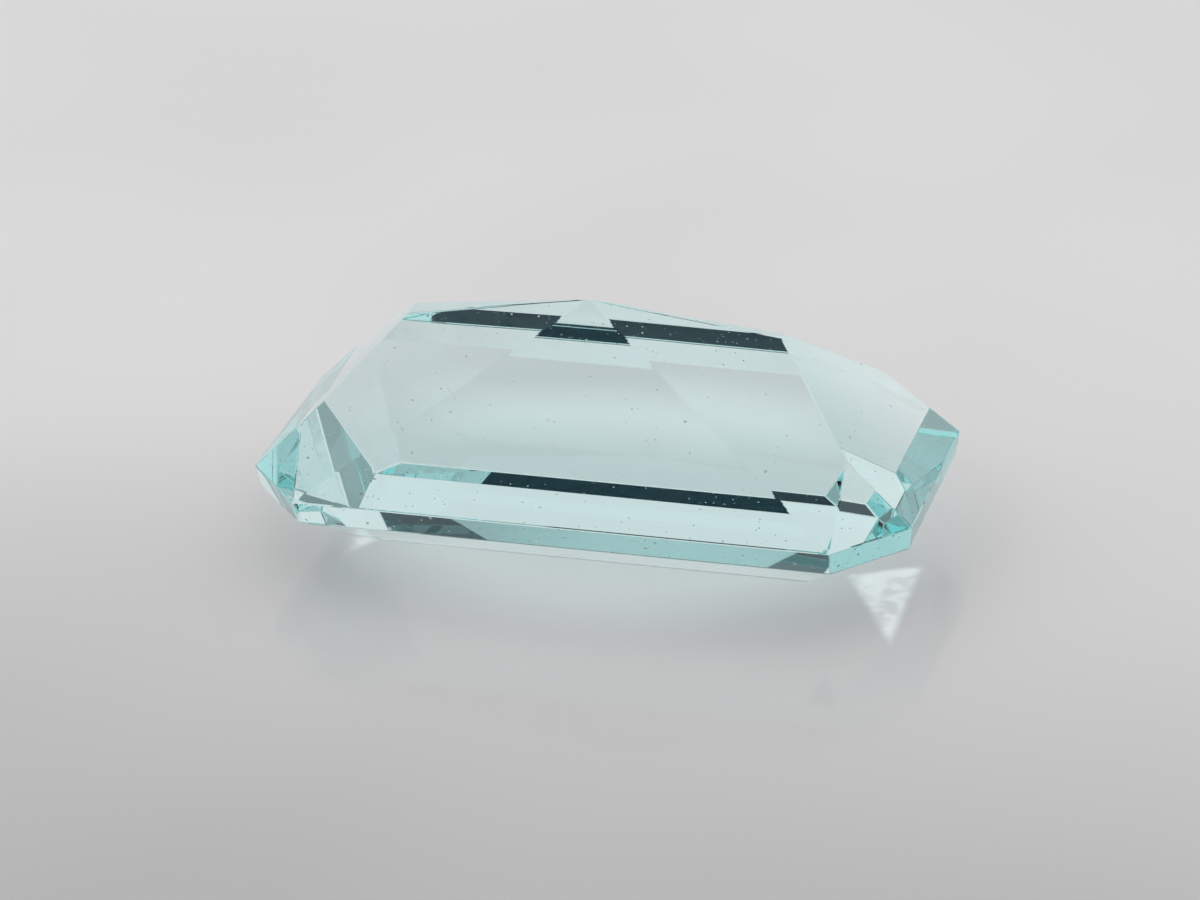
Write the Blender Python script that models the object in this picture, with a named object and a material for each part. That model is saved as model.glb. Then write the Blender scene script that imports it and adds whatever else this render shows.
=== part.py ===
"""A cut and polished beryl, the pale blue-green gem stone called aquamarine.

The stone is long, with cut corners. It lies face down: the table, the large flat facet on the
front of the stone, is on the surface, and the back with its point is up. It is one solid piece
of crystal, made the way a stone cutter makes it, from a plain block with one plane cut for
each facet.

The back has no steps. Every facet runs from the girdle to the top: a triangle on each long
side that ends at the point, a wing on either side of it that ends at the ridge, one facet for
each end and one for each corner. The ridge is blunted by two thin flats. The stone is cut by
hand, so the point is a little off the middle and left and right differ by a few degrees.

The origin is the middle of the stone's outline, on the table. X runs along the stone, Y across
it and Z up. Left is -X, right is +X.
"""

from math import cos, pi, radians, sin, tan

import bmesh
import bpy
from mathutils import Vector

MM = 0.001

# The girdle, the widest outline of the stone.
LENGTH = 11.0 * MM
WIDTH = 5.3 * MM
CORNER_CUT = 1.05 * MM    # taken off each end of the long and the short sides, at 45 degrees
GIRDLE_HEIGHT = 1.6 * MM  # of the widest outline, above the table

# The front of the stone, below the girdle. Slopes are in degrees from the table's plane.
BAND_HEIGHT = 0.4 * MM    # of the nearly upright band right below the girdle
BAND_SLOPE = 80.0
SIDE_CROWN_SLOPE = 35.5
END_CROWN_SLOPE = 38.0
CORNER_CROWN_SLOPE = 33.5

# The back of the stone, above the girdle.
POINT = (-0.15 * MM, 0.1 * MM, 2.65 * MM)  # from the middle of the girdle's plane
LEFT_RIDGE_FALL = 5.0
RIGHT_RIDGE_FALL = 5.5
LEFT_RIDGE_FLAT = 7.5
RIGHT_RIDGE_FLAT = 6.5
LEFT_END_SLOPE = 44.0
RIGHT_END_SLOPE = 43.0
CORNER_SLOPE = 48.5
FRONT_LEFT_CORNER_SLOPE = 53.5

SIDE_TURNS = (90, 270)
END_TURNS = (0, 180)
CORNER_TURNS = (45, 135, 225, 315)
FRONT_LEFT = 225

# Points closer than this are one point. It suits a stone a few millimetres across.
WELD = 0.0005 * MM

HALF_LENGTH = LENGTH / 2
HALF_WIDTH = WIDTH / 2
HALF_DIAGONAL = (HALF_LENGTH + HALF_WIDTH - CORNER_CUT) * cos(pi / 4)


def clear_scene():
    for obj in list(bpy.data.objects):
        bpy.data.objects.remove(obj, do_unlink=True)


def beryl_material():
    material = bpy.data.materials.new("aqua_beryl")
    material.use_nodes = True
    shader = material.node_tree.nodes["Principled BSDF"]
    shader.inputs["Base Color"].default_value = (0.62, 0.90, 0.90, 1.0)
    shader.inputs["Metallic"].default_value = 0.0
    shader.inputs["Roughness"].default_value = 0.02
    shader.inputs["IOR"].default_value = 1.575
    shader.inputs["Transmission Weight"].default_value = 1.0
    material.diffuse_color = (0.62, 0.90, 0.90, 1.0)
    return material


def rough_block():
    """A block a little larger than the stone, standing on the table's plane."""
    block = bmesh.new()
    bmesh.ops.create_cube(block, size=1.0)
    bmesh.ops.scale(block, vec=(1.2 * LENGTH, 1.2 * WIDTH, 2 * GIRDLE_HEIGHT + LENGTH), verts=block.verts)
    return block


def cut(block, point, normal):
    """Take off what lies on the normal's side of a plane, and close the cut."""
    everything = block.verts[:] + block.edges[:] + block.faces[:]
    result = bmesh.ops.bisect_plane(
        block, geom=everything, dist=WELD, plane_co=point, plane_no=normal, clear_outer=True
    )
    rim = [piece for piece in result["geom_cut"] if isinstance(piece, bmesh.types.BMEdge)]
    if rim:
        bmesh.ops.edgenet_fill(block, edges=rim)


def facet(block, turn, point, slope):
    """Cut one facet through a point, facing a compass angle in degrees.

    It leans in by slope from the table's plane. A positive slope is a facet on the back of the
    stone, a negative one on the front.
    """
    angle = radians(turn)
    lean = radians(abs(slope))
    rise = cos(lean) if slope > 0 else -cos(lean)
    cut(block, point, Vector((cos(angle) * sin(lean), sin(angle) * sin(lean), rise)))


def facet_through(block, first, second, third):
    """Cut one facet of the back through three points of the stone."""
    normal = (second - first).cross(third - first).normalized()
    if normal.z < 0:
        normal.negate()
    cut(block, first, normal)


def out_from_middle(turn, reach, height):
    """The point that is reach out from the stone's middle at a compass angle, and height up."""
    angle = radians(turn)
    return Vector((reach * cos(angle), reach * sin(angle), height))


def cut_front(block):
    """The table, the nearly upright girdle band and the crown below it."""
    cut(block, Vector((0.0, 0.0, 0.0)), Vector((0.0, 0.0, -1.0)))
    band_inset = BAND_HEIGHT / tan(radians(BAND_SLOPE))
    groups = (
        (SIDE_TURNS, HALF_WIDTH, SIDE_CROWN_SLOPE),
        (END_TURNS, HALF_LENGTH, END_CROWN_SLOPE),
        (CORNER_TURNS, HALF_DIAGONAL, CORNER_CROWN_SLOPE),
    )
    for turns, reach, crown_slope in groups:
        for turn in turns:
            facet(block, turn, out_from_middle(turn, reach, GIRDLE_HEIGHT), -BAND_SLOPE)
            rim = out_from_middle(turn, reach - band_inset, GIRDLE_HEIGHT - BAND_HEIGHT)
            facet(block, turn, rim, -crown_slope)


def cut_back(block):
    """The side triangles and their wings, the ends and corners, and the flats on the ridge."""
    point = Vector(POINT) + Vector((0.0, 0.0, GIRDLE_HEIGHT))
    left_ridge = point + Vector((-HALF_LENGTH, 0.0, -HALF_LENGTH * tan(radians(LEFT_RIDGE_FALL))))
    right_ridge = point + Vector((HALF_LENGTH, 0.0, -HALF_LENGTH * tan(radians(RIGHT_RIDGE_FALL))))
    for side in (-HALF_WIDTH, HALF_WIDTH):
        left = Vector((CORNER_CUT - HALF_LENGTH, side, GIRDLE_HEIGHT))
        right = Vector((HALF_LENGTH - CORNER_CUT, side, GIRDLE_HEIGHT))
        facet_through(block, point, left, right)
        facet_through(block, point, left_ridge, left)
        facet_through(block, point, right_ridge, right)
    facet(block, 180, out_from_middle(180, HALF_LENGTH, GIRDLE_HEIGHT), LEFT_END_SLOPE)
    facet(block, 0, out_from_middle(0, HALF_LENGTH, GIRDLE_HEIGHT), RIGHT_END_SLOPE)
    facet(block, 180, point, LEFT_RIDGE_FLAT)
    facet(block, 0, point, RIGHT_RIDGE_FLAT)
    for turn in CORNER_TURNS:
        slope = FRONT_LEFT_CORNER_SLOPE if turn == FRONT_LEFT else CORNER_SLOPE
        facet(block, turn, out_from_middle(turn, HALF_DIAGONAL, GIRDLE_HEIGHT), slope)


def beryl_stone(collection, material):
    block = rough_block()
    cut_front(block)
    cut_back(block)
    bmesh.ops.remove_doubles(block, verts=block.verts, dist=WELD)
    bmesh.ops.recalc_face_normals(block, faces=block.faces)
    mesh = bpy.data.meshes.new("beryl_stone")
    block.to_mesh(mesh)
    block.free()
    mesh.materials.append(material)
    stone = bpy.data.objects.new("beryl_stone", mesh)
    collection.objects.link(stone)
    return stone


def main():
    clear_scene()
    collection = bpy.data.collections.new("beryl_gemstone")
    bpy.context.scene.collection.children.link(collection)
    stone = beryl_stone(collection, beryl_material())
    size = [1000 * side for side in stone.dimensions]
    print("beryl_stone", len(stone.data.polygons), "facets, size in mm", [round(side, 2) for side in size])


main()
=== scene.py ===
# %% [markdown]
# # A cut beryl lying on its table
#
# The object is one clear, pale blue-green stone about 11 mm long, cut with flat facets and cut
# corners and polished all over. It lies face down, so its pointed back is up. Nothing is
# painted on a clear stone. What shows is the light that goes in through one facet, bounces off
# others and comes out again, so the lesson is about three things: exact planes, a shader that
# bends and absorbs light, and where the light comes from.
#
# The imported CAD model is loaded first, because it fixes the stone's size and place.

# %% Load the frame
import math
from itertools import combinations

import bpy
import numpy as np
from mathutils import Matrix, Vector


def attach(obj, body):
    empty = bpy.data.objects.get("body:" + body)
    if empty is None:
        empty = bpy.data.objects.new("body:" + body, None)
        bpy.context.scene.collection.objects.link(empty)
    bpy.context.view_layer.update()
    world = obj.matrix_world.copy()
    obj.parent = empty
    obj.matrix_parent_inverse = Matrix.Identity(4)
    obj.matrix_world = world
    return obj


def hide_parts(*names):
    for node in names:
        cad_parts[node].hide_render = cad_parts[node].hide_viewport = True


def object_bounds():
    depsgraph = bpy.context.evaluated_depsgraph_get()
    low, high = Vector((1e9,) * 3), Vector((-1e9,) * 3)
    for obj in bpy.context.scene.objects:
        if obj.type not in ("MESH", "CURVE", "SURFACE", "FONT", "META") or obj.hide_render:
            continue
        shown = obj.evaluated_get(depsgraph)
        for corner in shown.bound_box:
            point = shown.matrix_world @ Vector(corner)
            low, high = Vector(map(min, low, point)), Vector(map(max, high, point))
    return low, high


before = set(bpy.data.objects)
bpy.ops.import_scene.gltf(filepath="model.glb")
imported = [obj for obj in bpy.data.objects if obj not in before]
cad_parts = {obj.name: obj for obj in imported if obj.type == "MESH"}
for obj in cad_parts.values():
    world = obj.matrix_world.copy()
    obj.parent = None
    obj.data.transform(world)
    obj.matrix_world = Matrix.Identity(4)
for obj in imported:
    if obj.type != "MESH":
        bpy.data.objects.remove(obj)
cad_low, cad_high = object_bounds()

MM = 0.001
STONE_NODE = "beryl_stone"
HALF_LENGTH = (cad_high[0] - cad_low[0]) / 2
print("stone, mm:", [round((high - low) / MM, 2) for low, high in zip(cad_low, cad_high)])

# %% [markdown]
# ## Reading the planes of the facets
#
# A cut stone is what stays when one plane for each facet has taken its side away. The shape
# could be cut again here with the same planes, but then two files would hold the same angles.
# The CAD solid already has them: every triangle gives a normal and an offset, and the triangles
# of one facet give the same pair. So the planes are read back from it.

# %% Facet planes
SAME_DIRECTION = 0.99999
SAME_OFFSET = 0.002 * MM


def facet_planes(node):
    """Outward unit normals and offsets of a CAD node's flat faces.

    A triangle's normal is the cross product of two sides over its length, and the offset is
    the normal times a corner. The largest triangles come first, so no sliver sets a plane.
    """
    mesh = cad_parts[node].data
    mesh.calc_loop_triangles()
    corners = np.empty(3 * len(mesh.loop_triangles), np.int32)
    mesh.loop_triangles.foreach_get("vertices", corners)
    points = np.empty(3 * len(mesh.vertices))
    mesh.vertices.foreach_get("co", points)
    triangle = points.reshape(-1, 3)[corners.reshape(-1, 3)]
    cross = np.cross(triangle[:, 1] - triangle[:, 0], triangle[:, 2] - triangle[:, 0])
    area = np.linalg.norm(cross, axis=1)
    order = np.argsort(-area)
    normals = cross[order] / area[order, None]
    offsets = np.einsum("ij,ij->i", normals, triangle[order, 0])
    alike = normals @ normals.T > SAME_DIRECTION
    alike &= np.abs(offsets[:, None] - offsets) < SAME_OFFSET
    first = alike.argmax(axis=1) == np.arange(len(order))
    return normals[first], offsets[first]


normals, offsets = facet_planes(STONE_NODE)
print("facets:", len(normals))

# %% [markdown]
# ## From planes back to a solid
#
# Any three planes meet in a point, and the points that lie on or inside every plane are the
# corners of the stone. Its facets give some four thousand triples, which numpy solves at once.
# The corners on one plane, sorted by their angle round their middle, are that facet's outline.
# Each facet is one face with as many corners as it needs, so it is truly flat and its edges
# can be softened cleanly. Several facets meet in the stone's point, so corners less than two
# thousandths of a millimetre apart count as one.

# %% Corners and outlines
PARALLEL = 1e-6
INSIDE = 0.0002 * MM
MERGE = 0.002 * MM


def corners_of(normals, offsets):
    """Corner points of the solid that the planes enclose.

    Each triple of planes is a system of three equations, normal times point equals offset.
    Its solution is kept where it passes no plane, and points that fall together are merged.
    """
    triples = np.array(list(combinations(range(len(normals)), 3)))
    systems = normals[triples]
    solvable = np.abs(np.linalg.det(systems)) > PARALLEL
    right_sides = offsets[triples[solvable]][..., None]
    points = np.linalg.solve(systems[solvable], right_sides)[..., 0]
    points = points[(points @ normals.T <= offsets + INSIDE).all(axis=1)]
    close = np.linalg.norm(points[:, None] - points, axis=2) < MERGE
    return points[close.argmax(axis=1) == np.arange(len(points))]


def outline(points, normal, offset):
    """Indices of the corners on one plane, anticlockwise seen from outside.

    Each corner's angle is measured round their middle, between the spoke to the first corner
    and the direction a quarter turn on from it in the plane.
    """
    on_plane = np.flatnonzero(np.abs(points @ normal - offset) < MERGE)
    spokes = points[on_plane] - points[on_plane].mean(axis=0)
    along = spokes[0] / np.linalg.norm(spokes[0])
    across = np.cross(normal, along)
    return on_plane[np.argsort(np.arctan2(spokes @ across, spokes @ along))]


def solid_from_planes(name, normals, offsets):
    """An object with one flat face for each plane: that plane's outline on the shared corners."""
    points = corners_of(normals, offsets)
    faces = [outline(points, normal, offset) for normal, offset in zip(normals, offsets)]
    mesh = bpy.data.meshes.new(name)
    mesh.from_pydata(points.tolist(), [], [face.tolist() for face in faces if len(face) > 2])
    mesh.update()
    stone = bpy.data.objects.new(name, mesh)
    bpy.context.scene.collection.objects.link(stone)
    return stone


stone = solid_from_planes("polished_beryl", normals, offsets)
print("corners:", len(stone.data.vertices), "faces:", len(stone.data.polygons))

# %% [markdown]
# ## Edges that are almost sharp
#
# A lap leaves the edges between facets sharp to the eye, but years of wear round them by about
# two hundredths of a millimetre. That hair line is what catches the light along the rim. A Bevel
# modifier takes it off all edges alike, and its width is far too small to change the outline
# of the stone.

# %% Worn edges
EDGE_WEAR = 0.018 * MM
LEAST_FOLD = 1.0


def wear_edges(piece, width):
    """Round every edge between two facets with a strip of the given width."""
    bevel = piece.modifiers.new("worn edges", "BEVEL")
    bevel.width = width
    bevel.segments = 2
    bevel.limit_method = "ANGLE"
    bevel.angle_limit = math.radians(LEAST_FOLD)
    bevel.use_clamp_overlap = True


wear_edges(stone, EDGE_WEAR)
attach(stone, "root")
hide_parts(STONE_NODE)
print("edge wear, mm:", EDGE_WEAR / MM)

# %% [markdown]
# ## Small helpers for node trees
#
# A shader is a graph, and a few lines that add one node, set it up and link it keep the graphs
# below readable. The helper takes plain numbers and sockets alike for a node's inputs.

# %% Node helpers


def add_node(tree, kind, settings=None, **inputs):
    """Add a node, set its properties, and give its inputs numbers or links by name or index."""
    node = tree.nodes.new(kind)
    for name, value in (settings or {}).items():
        setattr(node, name, value)
    for name, value in inputs.items():
        numbered = name.startswith("in") and name[2:].isdigit()
        key = int(name[2:]) if numbered else name.replace("_", " ")
        if isinstance(value, bpy.types.NodeSocket):
            tree.links.new(value, node.inputs[key])
        else:
            node.inputs[key].default_value = value
    return node


def calculate(tree, operation, first, second=0.0):
    """One step of arithmetic on two values."""
    node = add_node(tree, "ShaderNodeMath", {"operation": operation}, in0=first, in1=second)
    return node.outputs[0]


def ramp(tree, value, start, end, low=0.0, high=1.0):
    """A smooth step: low before start, high after end, and an S curve between."""
    node = add_node(tree, "ShaderNodeMapRange", {"interpolation_type": "SMOOTHSTEP"}, in0=value)
    for index, number in zip((1, 2, 3, 4), (start, end, low, high)):
        node.inputs[index].default_value = number
    return node.outputs[0]


def blend(tree, factor, first, second):
    """first where factor is 0, second where it is 1: first plus factor times the difference."""
    node = add_node(tree, "ShaderNodeMix", {"data_type": "FLOAT"}, in0=factor, in2=first, in3=second)
    return node.outputs[0]


def blend_colour(tree, factor, first, second):
    """The same for two colours."""
    node = add_node(tree, "ShaderNodeMix", {"data_type": "RGBA"}, in0=factor, in6=first, in7=second)
    return node.outputs[2]


print("helpers ready")

# %% [markdown]
# ## Dust on the facets
#
# The photo shows white dust on the stone: many fine grains and a few coarse ones. Loose spheres
# could be strewn over it, but they would be pieces of their own and the stone's shape is what
# counts. So the dust is a mask in the stone's material, from cells in space with a grain in
# some of them. A little noise bends the cells, so no grain is quite round.

# %% Dust
FINE_DUST = (0.16 * MM, 0.018 * MM, 0.35)
COARSE_DUST = (0.50 * MM, 0.034 * MM, 0.45)
GRAIN_WOBBLE = 0.35
GRAIN_EDGE = 0.7


def dust_mask(tree, place, spacing, radius, share):
    """1 on grains of dust, 0 on clean stone.

    Space is divided in cells, spacing wide, with one point each. A grain shows where the
    surface passes within the radius of a point, in the given share of the cells.
    """
    wobble = add_node(tree, "ShaderNodeTexNoise", Vector=place, Scale=GRAIN_WOBBLE / radius, Detail=2.0)
    shifted = add_node(tree, "ShaderNodeVectorMath", {"operation": "MULTIPLY_ADD"},
                       in0=wobble.outputs["Color"], in1=(radius, radius, radius), in2=place)
    cells = add_node(tree, "ShaderNodeTexVoronoi", Vector=shifted.outputs[0], Scale=1.0 / spacing)
    reach = radius / spacing
    near = ramp(tree, cells.outputs["Distance"], GRAIN_EDGE * reach, reach, 1.0, 0.0)
    cell_value = add_node(tree, "ShaderNodeSeparateColor", Color=cells.outputs["Color"])
    holds = calculate(tree, "LESS_THAN", cell_value.outputs[0], share)
    return calculate(tree, "MULTIPLY", near, holds)


def all_dust(tree, place):
    """The fine and the coarse grains together: the larger of the two masks."""
    masks = [dust_mask(tree, place, *grains) for grains in (FINE_DUST, COARSE_DUST)]
    return calculate(tree, "MAXIMUM", *masks)


print("coarse grains, mm across:", round(2 * COARSE_DUST[1] / MM, 3))

# %% [markdown]
# ## Clear beryl
#
# Beryl bends light by an index of about 1.58, and a little iron takes the red out of it. The
# tint could be a coloured surface, but then thin tips would be as dark as the thick middle.
# Absorption inside the body is right: it takes its share for each millimetre of path, so light
# that has crossed the stone several times comes out a deep teal and the thin tips stay pale.
#
# The polish is not perfect either. A facet polished by hand is waved by less than a thousandth
# of a millimetre, which makes the edges seen through it a little soft. Where the dust mask is 1
# the surface is rough, whitish and only partly clear, so a grain looks white on the dark strips
# and nearly vanishes on the pale ones.

# %% Beryl material
BERYL_INDEX = 1.575
ABSORPTION = 54.0
PASSED_TINT = (0.18, 0.86, 0.86, 1.0)
POLISH_ROUGHNESS = 0.004
WAVE_LENGTH = 1.2 * MM
WAVE_HEIGHT = 0.0004 * MM
DUST_CLEARNESS = 0.45
DUST_ROUGHNESS = 0.7
CLEAN_COLOUR = (1.0, 1.0, 1.0, 1.0)
DUST_COLOUR = (0.86, 0.86, 0.84, 1.0)


def clear_beryl():
    """Clear, bending, absorbing stone with a faintly waved polish and dust on it."""
    material = bpy.data.materials.new("clear_aqua_beryl")
    material.use_nodes = True
    tree = material.node_tree
    shader = tree.nodes["Principled BSDF"]
    shader.inputs["IOR"].default_value = BERYL_INDEX
    place = add_node(tree, "ShaderNodeTexCoord").outputs["Object"]
    dust = all_dust(tree, place)
    clearness = ramp(tree, dust, 0.0, 1.0, 1.0, DUST_CLEARNESS)
    roughness = ramp(tree, dust, 0.0, 1.0, POLISH_ROUGHNESS, DUST_ROUGHNESS)
    tree.links.new(blend_colour(tree, dust, CLEAN_COLOUR, DUST_COLOUR), shader.inputs["Base Color"])
    tree.links.new(clearness, shader.inputs["Transmission Weight"])
    tree.links.new(roughness, shader.inputs["Roughness"])
    waves = add_node(tree, "ShaderNodeTexNoise", Vector=place, Scale=1.0 / WAVE_LENGTH, Detail=1.0)
    relief = add_node(tree, "ShaderNodeBump", Distance=WAVE_HEIGHT, Height=waves.outputs[0])
    tree.links.new(relief.outputs[0], shader.inputs["Normal"])
    body = add_node(tree, "ShaderNodeVolumeAbsorption", Color=PASSED_TINT, Density=ABSORPTION)
    tree.links.new(body.outputs[0], tree.nodes["Material Output"].inputs["Volume"])
    return material


stone.data.materials.append(clear_beryl())
print("absorption per mm, red green blue:",
      [round(ABSORPTION * MM * (1 - share), 3) for share in PASSED_TINT[:3]])

# %% [markdown]
# ## Light that the stone gathers
#
# A cut stone gathers light and throws it on the sheet under and around itself. Cycles could
# follow that light, but through clear facets it finds too little of it in a short render. So it
# is given to the sheet as a faint glow of its own: a soft oval under the stone, and the two
# creased patches that the photo shows at the ends of the near side.

# %% Gathered light
OVAL_REACH = (5.8 * MM, 4.0 * MM)
OVAL_MIDDLE = 0.9 * MM
OVAL_FADE = (0.6, 1.1)
OVAL_LIGHT = 0.20
PATCH_LIGHT = 0.28
PATCH_SOFTNESS = 0.20 * MM
CREASE_SCALE = 2200.0
LIGHT_PATCHES = (
    ((4.0, -0.5), (5.4, -2.8), (5.3, 0.1)),
    ((-4.3, -0.8), (-4.1, -1.5), (-3.6, -0.7)),
)


def patch_mask(tree, axes, corners):
    """1 inside a triangle on the sheet, 0 outside. The corners are in millimetres.

    For each side the distance from it, inwards, is a weighted sum of x and y. The mask is the
    product of a smooth step on each distance.
    """
    mask = 1.0
    for first, second in zip(corners, corners[1:] + corners[:1]):
        run = Vector(second) - Vector(first)
        inward = Vector((-run.y, run.x)).normalized()
        shares = [calculate(tree, "MULTIPLY", axes.outputs[axis], inward[axis]) for axis in (0, 1)]
        along = calculate(tree, "ADD", *shares)
        distance = calculate(tree, "SUBTRACT", along, inward.dot(Vector(first)) * MM)
        mask = calculate(tree, "MULTIPLY", mask, ramp(tree, distance, 0.0, PATCH_SOFTNESS))
    return mask


def gathered_light(tree, place, axes):
    """Strength of the glow: an oval that fades at its rim, plus the creased patches.

    How far out a point is in the oval is the length of two numbers: x over the reach along it,
    and y from its middle over the reach across it. The glow fades over a range of that length.
    """
    flat = (1.0 / OVAL_REACH[0], 1.0 / OVAL_REACH[1], 0.0)
    centred = (0.0, -OVAL_MIDDLE / OVAL_REACH[1], 0.0)
    scaled = add_node(tree, "ShaderNodeVectorMath", {"operation": "MULTIPLY_ADD"},
                      in0=place, in1=flat, in2=centred)
    reach = add_node(tree, "ShaderNodeVectorMath", {"operation": "LENGTH"}, in0=scaled.outputs[0])
    glow = ramp(tree, reach.outputs["Value"], *OVAL_FADE, OVAL_LIGHT, 0.0)
    crease = add_node(tree, "ShaderNodeTexNoise",
                      Vector=place, Scale=CREASE_SCALE, Detail=4.0, Distortion=1.2)
    strength = ramp(tree, crease.outputs[0], 0.35, 0.6, 0.5 * PATCH_LIGHT, PATCH_LIGHT)
    for corners in LIGHT_PATCHES:
        mask = patch_mask(tree, axes, corners)
        glow = calculate(tree, "ADD", glow, calculate(tree, "MULTIPLY", mask, strength))
    return glow


print("light patches:", len(LIGHT_PATCHES))

# %% [markdown]
# ## The surface it lies on
#
# The floor is a pale, slightly glossy sheet, so the stone shows again under itself as a soft
# blurred reflection. It lies a hundredth of a millimetre below the table facet. That thin gap of
# air is what lets the big facet mirror the inside of the stone, as it does on the real one. Its
# colour carries painted shade: darker in front of the stone than beyond it, standing in for the
# shade on the side towards the camera. A broad, faint cloudiness keeps it from looking painted.

# %% Floor
FLOOR_SIZE = 1.2
AIR_GAP = 0.01 * MM
SHEET_TINT = (1.0, 0.985, 0.995)
# Painted shade on the sheet: its colour value in front of the stone and beyond it.
PAINTED_SHADE_NEAR = 0.54
PAINTED_SHADE_FAR = 0.84
SHADE_START = -14.0 * MM
SHADE_END = 6.0 * MM
SHEET_ROUGHNESS = 0.10
CLOUD_SCALE = 90.0
CLOUD_RANGE = (0.97, 1.03)
GATHERED_TINT = (0.86, 1.0, 1.0, 1.0)


def sheet_material():
    """A pale, slightly glossy sheet: painted shade by distance, times the clouds, plus the glow."""
    material = bpy.data.materials.new("glossy_sheet")
    material.use_nodes = True
    tree = material.node_tree
    shader = tree.nodes["Principled BSDF"]
    shader.inputs["Roughness"].default_value = SHEET_ROUGHNESS
    place = add_node(tree, "ShaderNodeTexCoord").outputs["Object"]
    axes = add_node(tree, "ShaderNodeSeparateXYZ", Vector=place)
    # Painted shade: the sheet's colour darkens from beyond the stone towards the camera.
    value = ramp(tree, axes.outputs["Y"], SHADE_START, SHADE_END, PAINTED_SHADE_NEAR, PAINTED_SHADE_FAR)
    cloud = add_node(tree, "ShaderNodeTexNoise", Vector=place, Scale=CLOUD_SCALE, Detail=1.0)
    clouds = ramp(tree, cloud.outputs[0], 0.3, 0.7, *CLOUD_RANGE)
    value = calculate(tree, "MULTIPLY", value, clouds)
    tinted = add_node(tree, "ShaderNodeVectorMath", {"operation": "SCALE"}, in0=SHEET_TINT, Scale=value)
    tree.links.new(tinted.outputs[0], shader.inputs["Base Color"])
    shader.inputs["Emission Color"].default_value = GATHERED_TINT
    tree.links.new(gathered_light(tree, place, axes), shader.inputs["Emission Strength"])
    return material


def pale_floor():
    """One large square, the air gap below the table facet."""
    half = FLOOR_SIZE / 2
    mesh = bpy.data.meshes.new("pale_floor")
    corners = [(x * half, y * half, -AIR_GAP) for x, y in ((-1, -1), (1, -1), (1, 1), (-1, 1))]
    mesh.from_pydata(corners, [], [(0, 1, 2, 3)])
    mesh.materials.append(sheet_material())
    floor = bpy.data.objects.new("pale_floor", mesh)
    bpy.context.scene.collection.objects.link(floor)


pale_floor()
print("floor, m:", FLOOR_SIZE, "gap under the stone, mm:", AIR_GAP / MM)

# %% [markdown]
# ## The light around the stone
#
# A clear stone is a mirror of its room. If light came evenly from everywhere, every facet would
# be the same pale tint and the cutting would hardly show. The dark strips in it are something
# dark on the viewer's side of the room, seen through the facets. So the surroundings are a soft
# pale dome with one large, dark, faintly blue disc beside the camera. What is matt, the sheet
# and the dust, is lit evenly and a little more strongly, as if by a lamp that no facet happens
# to mirror.

# %% Surroundings
VIEW_AZIMUTH = 19.3
VIEW_ELEVATION = 28.4
DARK_AZIMUTH = VIEW_AZIMUTH - 29.0
DARK_ELEVATION = 33.0
DARK_RADIUS = 40.0
DARK_SOFTNESS = 13.0
DARK_COLOUR = (0.003, 0.016, 0.026, 1.0)
DOME_VALUE = 0.82
NEAR_LOW_VALUE = 0.35
MATT_LIGHT = (0.82, 0.82, 0.82, 1.0)


def direction(azimuth, elevation):
    """Unit vector towards a viewer at that azimuth and elevation. Azimuth 0 is the -Y side."""
    turn, rise = math.radians(azimuth), math.radians(elevation)
    return Vector((math.sin(turn) * math.cos(rise), -math.cos(turn) * math.cos(rise), math.sin(rise)))


def surround_light():
    """A dome whose value depends on direction alone.

    It is even, but dimmer low down on the near side, and it goes to the dark colour within the
    dark disc. Rays that have left a matt surface meet the even matt light instead.
    """
    world = bpy.data.worlds.new("soft_studio")
    world.use_nodes = True
    tree = world.node_tree
    look = add_node(tree, "ShaderNodeTexCoord").outputs["Generated"]
    axes = add_node(tree, "ShaderNodeSeparateXYZ", Vector=look)
    low_down = ramp(tree, axes.outputs["Z"], 0.3, 0.9, 1.0, 0.0)
    near_side = ramp(tree, calculate(tree, "MULTIPLY", axes.outputs["Y"], -1.0), -0.2, 0.6)
    dome = blend(tree, calculate(tree, "MULTIPLY", near_side, low_down), DOME_VALUE, NEAR_LOW_VALUE)
    towards_dark = add_node(tree, "ShaderNodeVectorMath", {"operation": "DOT_PRODUCT"},
                            in0=look, in1=direction(DARK_AZIMUTH, DARK_ELEVATION))
    inner = math.cos(math.radians(DARK_RADIUS - DARK_SOFTNESS))
    outer = math.cos(math.radians(DARK_RADIUS + DARK_SOFTNESS))
    disc = ramp(tree, towards_dark.outputs["Value"], outer, inner)
    colour = blend_colour(tree, disc, dome, DARK_COLOUR)
    met_matt = add_node(tree, "ShaderNodeLightPath").outputs["Diffuse Depth"]
    seen = blend_colour(tree, met_matt, colour, MATT_LIGHT)
    tree.links.new(seen, tree.nodes["Background"].inputs["Color"])
    bpy.context.scene.world = world


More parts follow.
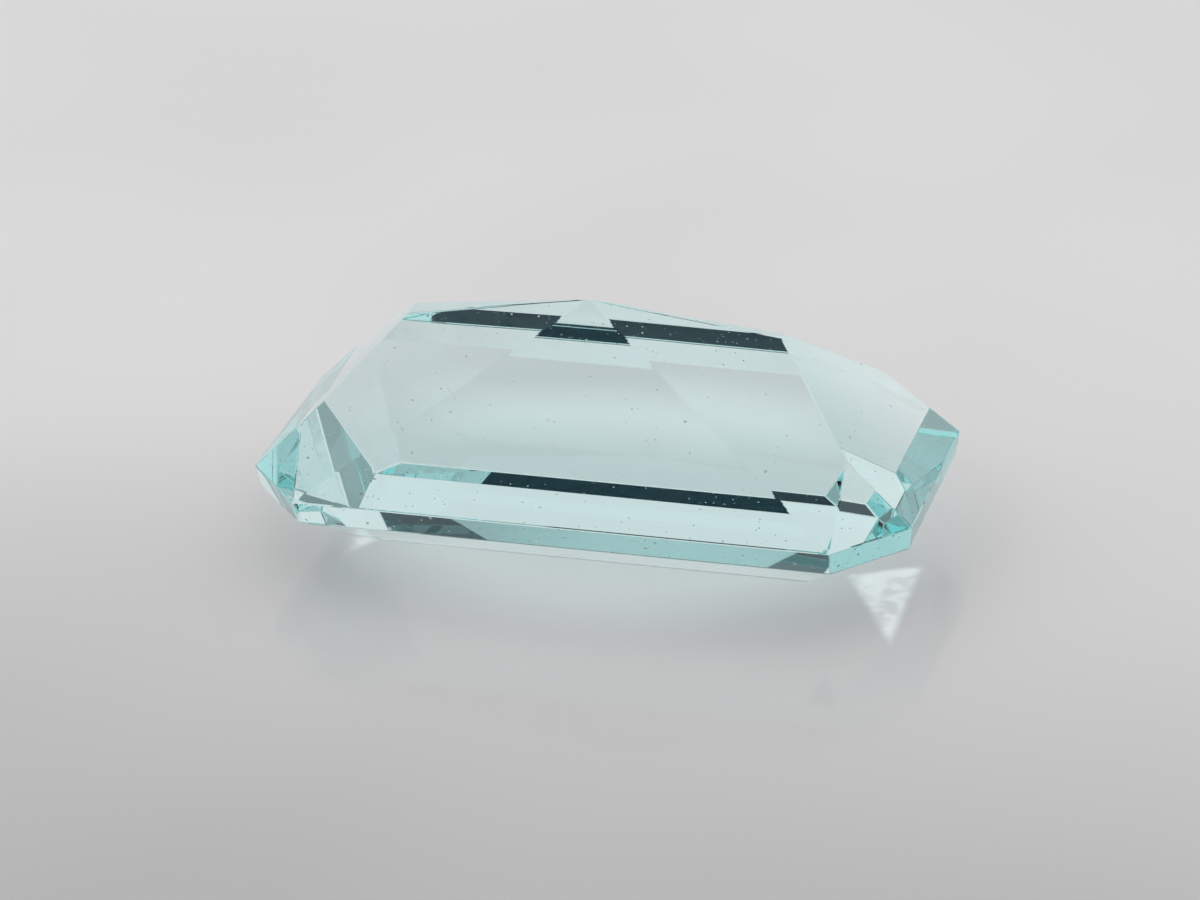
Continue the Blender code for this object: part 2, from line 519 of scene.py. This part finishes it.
surround_light()
print("dark disc at azimuth", round(DARK_AZIMUTH, 1), "elevation", DARK_ELEVATION)

# %% [markdown]
# ## Camera
#
# The picture was taken from close to the long side, some 28 degrees above the surface, with the
# camera turned slightly about its own axis. Its distance is given in half lengths of the stone,
# and the lens follows from the size the stone has in the frame.

# %% Camera
VIEW_ROLL = -4.23
VIEW_DISTANCE = 13.66
PICTURE_WIDTH = 1200
PIXELS_PER_HALF_LENGTH = 339.3
AIM_RIGHT = 0.018
AIM_UP = 0.004
GIRDLE_HEIGHT = 1.6 * MM
SENSOR = 36.0


def place_camera():
    """Stand the camera off along the view direction, rolled about it, with the stone framed."""
    turn = math.radians(VIEW_AZIMUTH)
    back = direction(VIEW_AZIMUTH, VIEW_ELEVATION)
    level = Vector((math.cos(turn), math.sin(turn), 0.0))
    roll = Matrix.Rotation(math.radians(VIEW_ROLL), 3, back)
    right = roll @ level
    up = back.cross(right)
    aim = Vector((0.0, 0.0, GIRDLE_HEIGHT)) - HALF_LENGTH * (AIM_RIGHT * right + AIM_UP * up)
    lens = bpy.data.cameras.new("camera")
    lens.sensor_width = SENSOR
    lens.lens = PIXELS_PER_HALF_LENGTH * VIEW_DISTANCE / PICTURE_WIDTH * SENSOR
    lens.clip_start = MM
    camera = bpy.data.objects.new("camera", lens)
    stand = Matrix.Translation(aim + back * VIEW_DISTANCE * HALF_LENGTH)
    camera.matrix_world = stand @ Matrix((right, up, back)).transposed().to_4x4()
    bpy.context.scene.collection.objects.link(camera)
    bpy.context.scene.camera = camera
    return lens.lens


print("lens, mm:", round(place_camera(), 1))

# %% [markdown]
# ## Enough bounces
#
# Inside a stone the light is mirrored again and again before it finds a way out. With the usual
# few bounces those paths end in black. So the limits are raised.

# %% Bounces and colour
LIGHT_BOUNCES = 24

scene = bpy.context.scene
scene.cycles.max_bounces = LIGHT_BOUNCES
scene.cycles.glossy_bounces = LIGHT_BOUNCES
scene.cycles.transmission_bounces = LIGHT_BOUNCES
scene.view_settings.view_transform = "Standard"
print("bounces:", LIGHT_BOUNCES)
